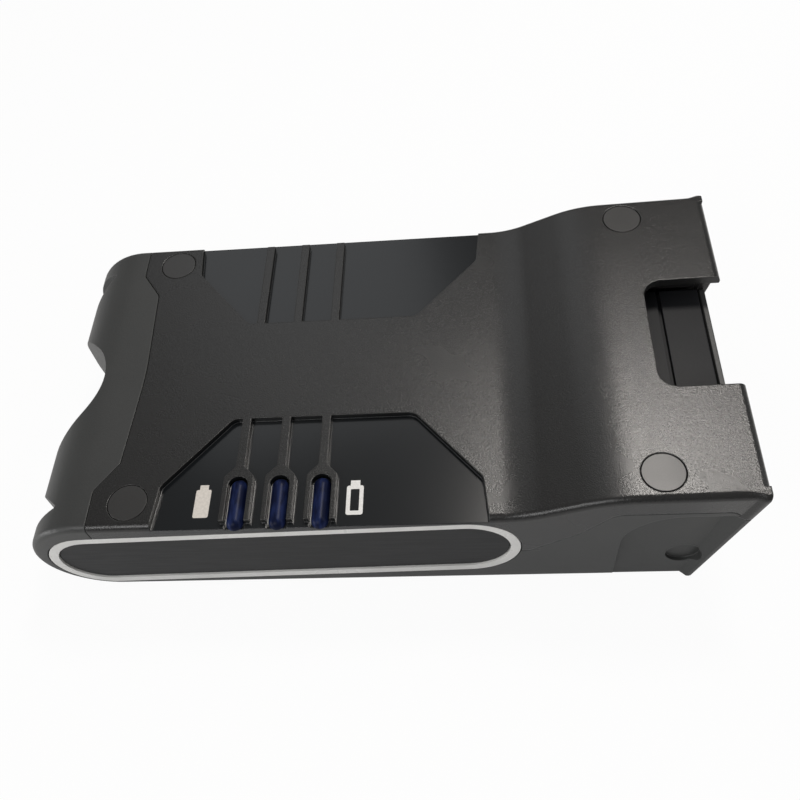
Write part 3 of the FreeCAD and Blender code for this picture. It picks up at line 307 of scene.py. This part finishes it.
def strip_nickel():
    """Nickel strip with a grid of weld marks."""
    shader = Shader("strip_nickel")
    marks = shader.cells(420.0)
    pit = shader.ramp(marks, 0.12, 0.3)
    slow = shader.noise(220.0, detail=3.0)
    tone = shader.mix(pit, (0.40, 0.38, 0.34), (0.68, 0.66, 0.61))
    tone = shader.mix(shader.ramp(slow, 0.45, 0.8, 0.0, 0.3), tone, (0.45, 0.40, 0.32))
    normal = shader.bump(pit, 0.25, 0.05 * MM)
    return shader.finish(tone, shader.ramp(slow, 0.3, 0.7, 0.24, 0.36), normal, Metallic=1.0)


# Pieces inside the case


def cell_wrap():
    """A shrink sleeve with faint wrinkles, open over the steel ends."""
    shader = Shader("cell_sleeve")
    x, y, z = shader.axes("Generated")
    dx = shader.math("SUBTRACT", x, 0.5)
    dz = shader.math("SUBTRACT", z, 0.5)
    square = shader.math("ADD", shader.math("MULTIPLY", dx, dx), shader.math("MULTIPLY", dz, dz))
    reach = shader.math("SQRT", square)
    along = shader.math("ABSOLUTE", shader.math("SUBTRACT", y, 0.5))
    end = shader.math("GREATER_THAN", along, 0.495)
    bare = shader.math("MULTIPLY", end, shader.math("LESS_THAN", reach, 0.40))
    wrinkle = shader.noise(90.0, detail=3.0, vector=shader.stretched((1.0, 0.25, 1.0)))
    tone = shader.mix(wrinkle, (0.035, 0.21, 0.165), (0.055, 0.30, 0.235))
    tone = shader.mix(bare, tone, (0.55, 0.55, 0.53))
    normal = shader.bump(wrinkle, 0.12, 0.2 * MM)
    gloss = shader.ramp(wrinkle, 0.3, 0.7, 0.22, 0.32)
    return shader.finish(tone, gloss, normal, Metallic=bare)


def fish_paper():
    """Pressed fibre sheet."""
    shader = Shader("fibre_sheet")
    upright = shader.stretched((1.0, 1.0, 0.2))
    fibre = shader.noise(1600.0, detail=5.0, roughness=0.75, vector=upright)
    tone = shader.mix(shader.ramp(fibre, 0.3, 0.7), (0.10, 0.24, 0.15), (0.19, 0.38, 0.25))
    normal = shader.bump(fibre, 0.3, 0.05 * MM)
    return shader.finish(tone, shader.ramp(fibre, 0.3, 0.7, 0.62, 0.78), normal)


def board_mask():
    """Green solder mask over copper runs, with tinned rings round the holes."""
    shader = Shader("board_mask")
    y = shader.axes()[1]
    wander = shader.math("MULTIPLY", shader.noise(70.0, detail=1.0), 5.0)
    line = shader.math("ADD", shader.math("MULTIPLY", y, 620.0), wander)
    wave = shader.math("SINE", shader.math("MULTIPLY", line, 2.6))
    copper = shader.ramp(wave, 0.1, 0.35)
    tone = shader.mix(copper, (0.010, 0.085, 0.030), (0.028, 0.17, 0.058))
    dots = shader.cells(330.0)
    via = shader.ramp(dots, 0.07, 0.10, 1.0, 0.0)
    tone = shader.mix(via, tone, (0.66, 0.64, 0.58))
    height = shader.math("ADD", shader.math("MULTIPLY", copper, 0.5), via)
    normal = shader.bump(height, 0.3, 0.04 * MM)
    return shader.finish(tone, shader.blend(via, 0.24, 0.35), normal, Coat_Weight=0.4)


def package(name, base, roughness=0.55):
    """An epoxy package with fine filler showing in it."""
    shader = Shader(name)
    filler = shader.noise(5200.0, detail=3.0, roughness=0.7)
    tone = shader.mix(shader.ramp(filler, 0.4, 0.75), base, scaled(base, 1.7))
    normal = shader.bump(filler, 0.15, 0.02 * MM, shader.soft_edges(0.12 * MM))
    gloss = shader.ramp(filler, 0.3, 0.7, roughness - 0.06, roughness + 0.08)
    return shader.finish(tone, gloss, normal)


def capacitor_can():
    """A dark sleeve with a bare aluminium top."""
    shader = Shader("capacitor_can")
    z = shader.axes("Generated")[2]
    top = shader.ramp(z, 0.93, 0.95)
    fine = shader.noise(2600.0, detail=2.0)
    tone = shader.mix(fine, (0.014, 0.016, 0.035), (0.022, 0.025, 0.05))
    tone = shader.mix(top, tone, (0.66, 0.66, 0.67))
    gloss = shader.blend(top, shader.ramp(fine, 0.3, 0.7, 0.28, 0.36), 0.24)
    normal = shader.bump(fine, 0.06, 0.02 * MM)
    return shader.finish(tone, gloss, normal, Metallic=top)


def led_body():
    """White package with a pale phosphor window on top."""
    shader = Shader("led_body")
    z = shader.axes("Generated")[2]
    top = shader.ramp(z, 0.9, 0.97)
    fine = shader.noise(4200.0, detail=2.0)
    window = shader.mix(fine, (0.80, 0.74, 0.40), (0.86, 0.80, 0.50))
    body = shader.mix(fine, (0.80, 0.80, 0.78), (0.88, 0.88, 0.86))
    tone = shader.mix(top, body, window)
    normal = shader.bump(fine, 0.05, 0.02 * MM)
    return shader.finish(tone, shader.blend(top, 0.45, 0.2), normal, Coat_Weight=0.3)


def foam_cells():
    """Closed-cell foam."""
    shader = Shader("foam_cells")
    pores = shader.cells(1500.0)
    slow = shader.noise(200.0, detail=2.0)
    deep = shader.ramp(pores, 0.1, 0.6)
    tone = shader.mix(deep, (0.018, 0.018, 0.019), (0.055, 0.055, 0.056))
    normal = shader.bump(pores, 0.6, 0.15 * MM)
    gloss = shader.ramp(slow, 0.3, 0.7, 0.86, 0.96)
    return shader.finish(tone, gloss, normal, Sheen_Weight=0.2)


HOUSING_GREY = (0.035, 0.0361, 0.0354)
BLOCK_GREY = (0.0125, 0.0130, 0.0145)
PLUG_GREY = (0.028, 0.0275, 0.027)
HOLDER_GREY = (0.020, 0.020, 0.021)

SLOT_MATERIALS = {
    "housing_plastic": moulded(
        "housing_grain", HOUSING_GREY, 0.45, grain=3200.0, depth=0.45, edge=0.35, edge_radius=0.35
    ),
    "cover_plastic": cover_plastic(),
    "badge_ring": ring_plastic(),
    "badge_plate": plate_plastic(),
    "lens": lens_plastic(),
    "screw_steel": metal("zinc_plate", (0.56, 0.57, 0.59), 0.32, stretch=(1.0, 1.0, 0.2)),
    "cell_wrap": cell_wrap(),
    "nickel": strip_nickel(),
    "holder_plastic": moulded("holder_grain", HOLDER_GREY, 0.5, grain=2000.0, edge_radius=0.2),
    "insulator_paper": fish_paper(),
    "circuit_board": board_mask(),
    "component_black": package("epoxy_black", (0.012, 0.012, 0.013)),
    "component_ceramic": package("ceramic_body", (0.62, 0.58, 0.50), 0.35),
    "capacitor_can": capacitor_can(),
    "led_white": led_body(),
    "block_plastic": moulded(
        "block_nylon", BLOCK_GREY, 0.5, grain=3400.0, depth=0.24, spread=0.2, shine=0.2
    ),
    "contact_metal": metal("gold_flash", (0.82, 0.62, 0.30), 0.26, stain=0.15),
    "foam": foam_cells(),
}
plug_plastic = moulded(
    "plug_grain", PLUG_GREY, 0.355, grain=3200.0, depth=0.3, edge=0.45, edge_radius=0.2
)

slots = {entry["node"]: entry["material_slot"] for entry in frame["record"]["subparts"]}
for name, node in nodes.items():
    chosen = plug_plastic if name.startswith("screw_plug") else SLOT_MATERIALS[slots[name]]
    node.data.materials.clear()
    node.data.materials.append(chosen)
    for face in node.data.polygons:
        face.material_index = 0


# Helpers for meshes


def mesh_of(name, form):
    """The mesh of a finished form."""
    mesh = bpy.data.meshes.new(name)
    form.to_mesh(mesh)
    form.free()
    return mesh


def placed(name, data):
    """A new object in the scene."""
    made = bpy.data.objects.new(name, data)
    bpy.context.scene.collection.objects.link(made)
    return made


def loft(form, loops):
    """A closed form through loops of points in millimetres."""
    rings = [[form.verts.new(Vector(point) * MM) for point in loop] for loop in loops]
    form.faces.new(rings[0])
    form.faces.new(rings[-1])
    for first, last in zip(rings, rings[1:]):
        for index in range(len(first)):
            after = (index + 1) % len(first)
            form.faces.new((first[index], first[after], last[after], last[index]))


def both_sides(name, kinds):
    """One helper object with each kind of form on the front and on the back."""
    form = bmesh.new()
    for loops in kinds:
        for sign in (-1, 1):
            loft(form, [[(x, sign * y, z) for x, y, z in loop] for loop in loops])
    bmesh.ops.recalc_face_normals(form, faces=list(form.faces))
    return placed(name, mesh_of(name, form))


def across(points, near, far):
    """Two loops of one outline seen from the side, at two distances from the middle."""
    return [[(x, near, z) for x, z in points], [(x, far, z) for x, z in points]]


# Case shells with finer end corners, in millimetres and degrees

SIDE_LEAN = 2.86
END_LEAN = 13.5
FLAT_HEIGHT = 32.0
FLAT_SIDE = 42.9
END_HEIGHT = 39.5
END_REACH = 81.7
TOP_CLIMB = 0.6 / 31.7
SIDE_SLOPE = math.tan(math.radians(SIDE_LEAN))
END_SLOPE = math.tan(math.radians(END_LEAN))
LOW_SIDE = FLAT_SIDE - FLAT_HEIGHT * SIDE_SLOPE
LOW_END = END_REACH - END_HEIGHT * END_SLOPE

# How far a helper form reaches past the surface that it cuts, and well outside the case
CLEAR = 0.02
OUTSIDE = 50.0
ABOVE = 3.0

# The rounded upper edge and where it is cut
EDGE = 1.6
EDGE_STEPS = 7
CORNER_BOTTOM = 29.5
CORNER_ENDS = (75.7, 84.0)

# The flared lips: where they end, their outline seen from above, and each lip's run and root
LIP_SET_BACK = 0.5
LIP_RISE = 0.75
LIP_NOSE = 0.9
LIP_SHOULDER = 1.5
LIP_TIP = ((-1.05, 0.60), (-0.55, 0.66), (0.0, 0.525))
LIP_TURN = 72.0
LIP_STEPS = 4
UPPER_LIP_BOTTOM = 30.1
UPPER_LIP_PLACE = 81.0
UPPER_LIP_RUN = 5.6
UPPER_LIP_ROOT = 1.6
LOWER_LIP_TOP = 29.85
LOWER_LIP_RUN = 5.2
LOWER_LIP_ROOT = 3.0

# The side recess and the socket in it
RECESS_FLOOR = 40.9
RECESS_LEAN = 0.3
RECESS_LEFT = 53.7
RECESS_HIGH = 31.0
RECESS_ROUND = 12.5
RECESS_BOTTOM = -3.0
RECESS_END = 90.0
RECESS_OUTSIDE = 47.0
FILL_BETWEEN = (40.05, 41.2)
FILL_LEFT = 53.5
FILL_BOTTOM = 1.5
FILL_SHOULDER = 29.8
FILL_TOP = 31.2
BORE = (68.6, 10.0)
BORE_RADIUS = 3.9
BORE_BETWEEN = (39.95, 46.0)

# The wedge that closes the seam beside the badge
SEAM_WEDGE = ((33.92, 15.3), (36.4, 15.3), (36.4, 17.26))
WEDGE_INNER = 39.2

SHARP_ANGLE = 24.0
MERGE_DISTANCE = 1e-7


def side_at(z):
    """How far the leaning side stands from the middle at a height."""
    return LOW_SIDE + SIDE_SLOPE * z


def end_at(z):
    """Where the leaning end stands at a height."""
    return LOW_END + END_SLOPE * z


def top_at(x):
    """The height of the raised top, which climbs gently towards the end."""
    return END_HEIGHT - (END_REACH - x) * TOP_CLIMB


def corner_space(x):
    """The space beyond the rounded upper edge of the side, at one place along it."""
    top = top_at(x)
    mid_z = top - EDGE
    mid_y = side_at(mid_z) - EDGE / math.cos(math.radians(SIDE_LEAN))
    reach = EDGE + CLEAR
    points = [(x, side_at(CORNER_BOTTOM) + CLEAR, CORNER_BOTTOM)]
    for step in range(EDGE_STEPS + 1):
        angle = math.radians(-SIDE_LEAN + (90.0 + SIDE_LEAN) * step / EDGE_STEPS)
        points.append((x, mid_y + reach * math.cos(angle), mid_z + reach * math.sin(angle)))
    points += [(x, mid_y, top + ABOVE), (x, OUTSIDE, top + ABOVE), (x, OUTSIDE, CORNER_BOTTOM)]
    return points


def lip_loop(z, run, root, inset=0.0):
    """The lip where the side flares out to meet the end, seen from above at a height."""
    end = end_at(z) - LIP_SET_BACK
    side = side_at(z)
    slope = (LIP_RISE + root) / (run - LIP_NOSE)
    shoulder = slope * (run - LIP_SHOULDER) - root
    points = [(end - run, side - root, z)]
    points += [(end + x, side + y - inset, z) for x, y in ((-LIP_SHOULDER, shoulder), *LIP_TIP)]
    return points + [(end, side - root, z)]


def lip(low, high, run, root, rounded_top):
    """The loops of a lip between two heights."""
    loops = [lip_loop(low, run, root)]
    if not rounded_top:
        return loops + [lip_loop(high, run, root)]
    for step in range(LIP_STEPS + 1):
        angle = math.radians(LIP_TURN * step / LIP_STEPS)
        drop = EDGE * (1.0 - math.sin(angle))
        inset = EDGE * (1.0 - math.cos(angle))
        loops.append(lip_loop(high - drop, run, root, inset))
    return loops


def arch(steps=12):
    """The side recess seen from the side: open below and towards the end."""
    points = [(RECESS_END, RECESS_BOTTOM), (RECESS_END, RECESS_HIGH)]
    for step in range(steps + 1):
        angle = math.radians(90.0 + 90.0 * step / steps)
        x = RECESS_LEFT + RECESS_ROUND * (1.0 + math.cos(angle))
        points.append((x, RECESS_HIGH - RECESS_ROUND * (1.0 - math.sin(angle))))
    return points + [(RECESS_LEFT, RECESS_BOTTOM)]


def circle_points(middle, radius, steps=48):
    """A circle seen from the side."""
    angles = [2.0 * math.pi * step / steps for step in range(steps)]
    return [(middle[0] + radius * math.cos(a), middle[1] + radius * math.sin(a)) for a in angles]


def reshaped(name, node, steps):
    """A copy of a moulding with its end corners reworked, which stands for the plain one."""
    mesh = nodes[node].data.copy()
    if "custom_normal" in mesh.attributes:
        mesh.attributes.remove(mesh.attributes["custom_normal"])
    form = bmesh.new()
    form.from_mesh(mesh)
    bmesh.ops.remove_doubles(form, verts=list(form.verts), dist=MERGE_DISTANCE)
    form.to_mesh(mesh)
    form.free()
    piece = placed(name, mesh)
    for operation, helper in steps:
        change = piece.modifiers.new(helper.name, "BOOLEAN")
        change.operation = operation
        change.solver = "EXACT"
        change.object = helper
    bpy.context.view_layer.update()
    graph = bpy.context.evaluated_depsgraph_get()
    made = bpy.data.meshes.new_from_object(piece.evaluated_get(graph))
    piece.modifiers.clear()
    piece.data = made
    for operation, helper in steps:
        bpy.data.objects.remove(helper)
    for face in made.polygons:
        face.use_smooth = True
        face.material_index = 0
    made.set_sharp_from_angle(angle=math.radians(SHARP_ANGLE))
    weighted = piece.modifiers.new("even_normals", "WEIGHTED_NORMAL")
    weighted.keep_sharp = True
    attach(piece, "root")
    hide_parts(node)


corner_cut = both_sides("corner_cut", [[corner_space(x) for x in CORNER_ENDS]])
upper_loops = lip(UPPER_LIP_BOTTOM, top_at(UPPER_LIP_PLACE), UPPER_LIP_RUN, UPPER_LIP_ROOT, True)
upper_lip = both_sides("upper_lip", [upper_loops])
reshaped(
    "cover_shell",
    "top_cover",
    [("DIFFERENCE", corner_cut), ("UNION", upper_lip)],
)

fill = [
    (FILL_LEFT, FILL_BOTTOM),
    (end_at(FILL_BOTTOM) - CLEAR, FILL_BOTTOM),
    (end_at(FILL_SHOULDER) - CLEAR, FILL_SHOULDER),
    (77.9, FILL_SHOULDER),
    (76.3, FILL_TOP),
    (FILL_LEFT, FILL_TOP),
]
recess_fill = both_sides("recess_fill", [across(fill, *FILL_BETWEEN)])
recess_inner = [(x, RECESS_FLOOR - RECESS_LEAN * z / RECESS_HIGH, z) for x, z in arch()]
recess_outer = [(x, RECESS_OUTSIDE, z) for x, z in arch()]
recess_cut = both_sides("recess_cut", [[recess_inner, recess_outer]])
bore_cut = both_sides("bore_cut", [across(circle_points(BORE, BORE_RADIUS), *BORE_BETWEEN)])
lower_loops = lip(0.0, LOWER_LIP_TOP, LOWER_LIP_RUN, LOWER_LIP_ROOT, False)
wedge_inner = [(x, WEDGE_INNER, z) for x, z in SEAM_WEDGE]
wedge_outer = [(x, side_at(z) - 0.01, z) for x, z in SEAM_WEDGE]
lower_lip = both_sides("lower_lip", [lower_loops, [wedge_inner, wedge_outer]])
reshaped(
    "case_shell",
    "lower_housing",
    [
        ("UNION", recess_fill),
        ("DIFFERENCE", recess_cut),
        ("UNION", lower_lip),
        ("DIFFERENCE", bore_cut),
    ],
)


# Printed charge symbols on the front panel

PANEL_FLOOR = 30.5
INK_LIFT = 0.005
INK_DEPTH = 0.04


def rounded(left, right, low, high, radius, steps=5):
    """Corner points of a rectangle with round corners, counter-clockwise."""
    points = []
    corners = (
        (right - radius, high - radius, 0),
        (left + radius, high - radius, 90),
        (left + radius, low + radius, 180),
        (right - radius, low + radius, 270),
    )
    for middle_x, middle_y, start in corners:
        for step in range(steps + 1):
            angle = math.radians(start + 90.0 * step / steps)
            x = middle_x + radius * math.cos(angle)
            points.append((x, middle_y + radius * math.sin(angle)))
    return points


def battery_outline(left, right, low, high, tip_width, tip_height, radius):
    """A battery seen from the front, its tip towards +y, as one closed outline."""
    middle = (left + right) / 2
    body = rounded(left, right, low, high - tip_height, radius)
    half = tip_width / 2
    count = len(body) // 4
    tip = [
        (middle + half, high - tip_height),
        (middle + half, high),
        (middle - half, high),
        (middle - half, high - tip_height),
    ]
    return body[:count] + tip + body[count:]


def printed(name, loops, material):
    """A thin layer of ink on the panel floor: an outline, and a second one round a gap in it."""
    form = bmesh.new()
    edges = []
    for loop in loops:
        verts = [form.verts.new((x * MM, y * MM, (PANEL_FLOOR + INK_LIFT) * MM)) for x, y in loop]
        for index, vert in enumerate(verts):
            edges.append(form.edges.new((vert, verts[(index + 1) % len(verts)])))
    bmesh.ops.triangle_fill(
        form, use_beauty=True, use_dissolve=True, edges=edges, normal=(0, 0, 1)
    )
    grown = bmesh.ops.extrude_face_region(form, geom=list(form.faces))
    raised = [item for item in grown["geom"] if isinstance(item, bmesh.types.BMVert)]
    bmesh.ops.translate(form, vec=(0, 0, INK_DEPTH * MM), verts=raised)
    bmesh.ops.recalc_face_normals(form, faces=list(form.faces))
    piece = placed(name, mesh_of(name, form))
    piece.data.materials.append(material)
    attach(piece, "root")


grey_ink = ink("print_grey", 1800.0, (0.62, 0.58, 0.53), (0.72, 0.675, 0.62), 0.52, 0.44)
white_ink = ink("print_white", 2200.0, (0.74, 0.73, 0.71), (0.84, 0.83, 0.81), 0.5, 0.42)
full = battery_outline(-39.9, -36.4, -39.8, -31.5, 2.0, 1.2, 0.45)
printed("symbol_full", [full], grey_ink)
empty = battery_outline(-5.6, -1.85, -40.0, -31.4, 2.1, 1.3, 0.5)
gap = rounded(-4.7, -2.75, -39.0, -33.6, 0.2)
printed("symbol_empty", [empty, gap], white_ink)


# Floor and world

FLOOR_HALF = 3.0
FLOOR_DROP = 0.0002
FLOOR_GREY = (0.8, 0.8, 0.8, 1.0)
FLOOR_CAMERA_SHARE = 0.95
FLOOR_MIRROR_SHARE = 0.24
WORLD_LEVEL = 0.18
WORLD_CAMERA_SHARE = 1.0
WORLD_MIRROR_SHARE = 0.06


def math_node(tree, operation, first, second):
    """A maths node between an output and another output or a number."""
    made = tree.nodes.new("ShaderNodeMath")
    made.operation = operation
    tree.links.new(first, made.inputs[0])
    if isinstance(second, bpy.types.NodeSocket):
        tree.links.new(second, made.inputs[1])
    else:
        made.inputs[1].default_value = second
    return made.outputs[0]


def white_share(tree, camera_share, mirror_share):
    """How much of the plain white shows to the camera, and in mirrored and bent rays."""
    ray = tree.nodes.new("ShaderNodeLightPath").outputs
    bounced = math_node(tree, "MAXIMUM", ray["Is Glossy Ray"], ray["Is Transmission Ray"])
    mirrored = math_node(tree, "MULTIPLY", bounced, mirror_share)
    direct = math_node(tree, "MULTIPLY", ray["Is Camera Ray"], camera_share)
    return math_node(tree, "MAXIMUM", direct, mirrored)


def mixed_surface(tree, output_kind, plain, white, share):
    """The plain surface and the white one, mixed by the share and joined to the output."""
    mixed = tree.nodes.new("ShaderNodeMixShader")
    tree.links.new(share, mixed.inputs[0])
    tree.links.new(plain.outputs[0], mixed.inputs[1])
    tree.links.new(white.outputs[0], mixed.inputs[2])
    output = tree.nodes.new(output_kind)
    tree.links.new(mixed.outputs[0], output.inputs["Surface"])


def glowing(tree, kind, level):
    """A node that gives plain white light at a level."""
    made = tree.nodes.new(kind)
    made.inputs["Color"].default_value = WHITE
    made.inputs["Strength"].default_value = level
    return made


def make_floor():
    """A floor that is white to the camera and keeps the object's shadow."""
    form = bmesh.new()
    bmesh.ops.create_grid(form, x_segments=1, y_segments=1, size=FLOOR_HALF)
    floor = placed("floor", mesh_of("floor", form))
    floor.location = (0.0, 0.0, -FLOOR_DROP)
    material = bpy.data.materials.new("floor_white")
    material.use_nodes = True
    tree = material.node_tree
    tree.nodes.clear()
    diffuse = tree.nodes.new("ShaderNodeBsdfDiffuse")
    diffuse.inputs["Color"].default_value = FLOOR_GREY
    glow = glowing(tree, "ShaderNodeEmission", 1.0)
    share = white_share(tree, FLOOR_CAMERA_SHARE, FLOOR_MIRROR_SHARE)
    mixed_surface(tree, "ShaderNodeOutputMaterial", diffuse, glow, share)
    floor.data.materials.append(material)


def make_world():
    """An even world light, white to the camera."""
    world = bpy.data.worlds.new("studio")
    bpy.context.scene.world = world
    world.use_nodes = True
    tree = world.node_tree
    tree.nodes.clear()
    ambient = glowing(tree, "ShaderNodeBackground", WORLD_LEVEL)
    backdrop = glowing(tree, "ShaderNodeBackground", 1.0)
    share = white_share(tree, WORLD_CAMERA_SHARE, WORLD_MIRROR_SHARE)
    mixed_surface(tree, "ShaderNodeOutputWorld", ambient, backdrop, share)


make_floor()
make_world()


# Lamps: name, place, aim, size, watts and tint

PLAIN = (1.0, 1.0, 1.0)
WARM = (1.0, 0.955, 0.905)
COOL = (0.95, 0.975, 1.0)
LAMPS = (
    ("lamp_back_right", (0.132, 0.222, 0.552), (0.06, -0.04, 0.04), (0.12, 0.12), 1.72, WARM),
    ("lamp_back_left", (-0.14, 0.43, 0.48), (-0.03, 0.0, 0.03), (0.26, 0.26), 0.18, COOL),
    ("lamp_right", (0.50, 0.02, 0.36), (0.03, 0.0, 0.03), (0.35, 0.35), 0.6, PLAIN),
    ("lamp_front", (-0.24, -0.44, 0.46), (0.0, 0.0, 0.02), (0.3, 0.25), 1.3, PLAIN),
    ("lamp_left", (-0.55, -0.22, 0.06), (-0.07, 0.0, 0.02), (0.35, 0.1), 0.9, PLAIN),
)

for name, place, aim, size, power, tint in LAMPS:
    lamp = bpy.data.lights.new(name, "AREA")
    lamp.shape = "RECTANGLE"
    lamp.size, lamp.size_y = size
    lamp.energy = power
    lamp.color = tint
    holder = placed(name, lamp)
    holder.location = place
    look = Vector(aim) - Vector(place)
    holder.rotation_euler = look.to_track_quat("-Z", "Y").to_euler()


# Camera, fitted to the photograph: pixels, millimetres and degrees

PICTURE = 800.0
FOCAL = 905.51
CENTRE = (386.63, 415.88)
SENSOR = 36.0
HEADING = -11.01
TILT = 54.86
ROLL = -10.76
SPOT = (25.22, -133.09, 202.30)

turn = (
    Matrix.Rotation(math.radians(HEADING), 3, "Z")
    @ Matrix.Rotation(math.radians(TILT), 3, "X")
    @ Matrix(((1, 0, 0), (0, 0, -1), (0, 1, 0)))
    @ Matrix.Rotation(math.radians(ROLL), 3, "Z")
)
right, down, ahead = turn
spot = Vector(SPOT) * MM
view = bpy.data.cameras.new("camera")
view.sensor_width = SENSOR
view.lens = FOCAL * SENSOR / PICTURE
view.shift_x = (PICTURE / 2 - CENTRE[0]) / PICTURE
view.shift_y = (CENTRE[1] - PICTURE / 2) / PICTURE
view.clip_start = 0.01
view.clip_end = 20.0
camera = placed("camera", view)
rows = [(right[axis], -down[axis], -ahead[axis], spot[axis]) for axis in range(3)]
camera.matrix_world = Matrix((*rows, (0.0, 0.0, 0.0, 1.0)))
bpy.context.scene.camera = camera
bpy.context.scene.view_settings.view_transform = "Standard"
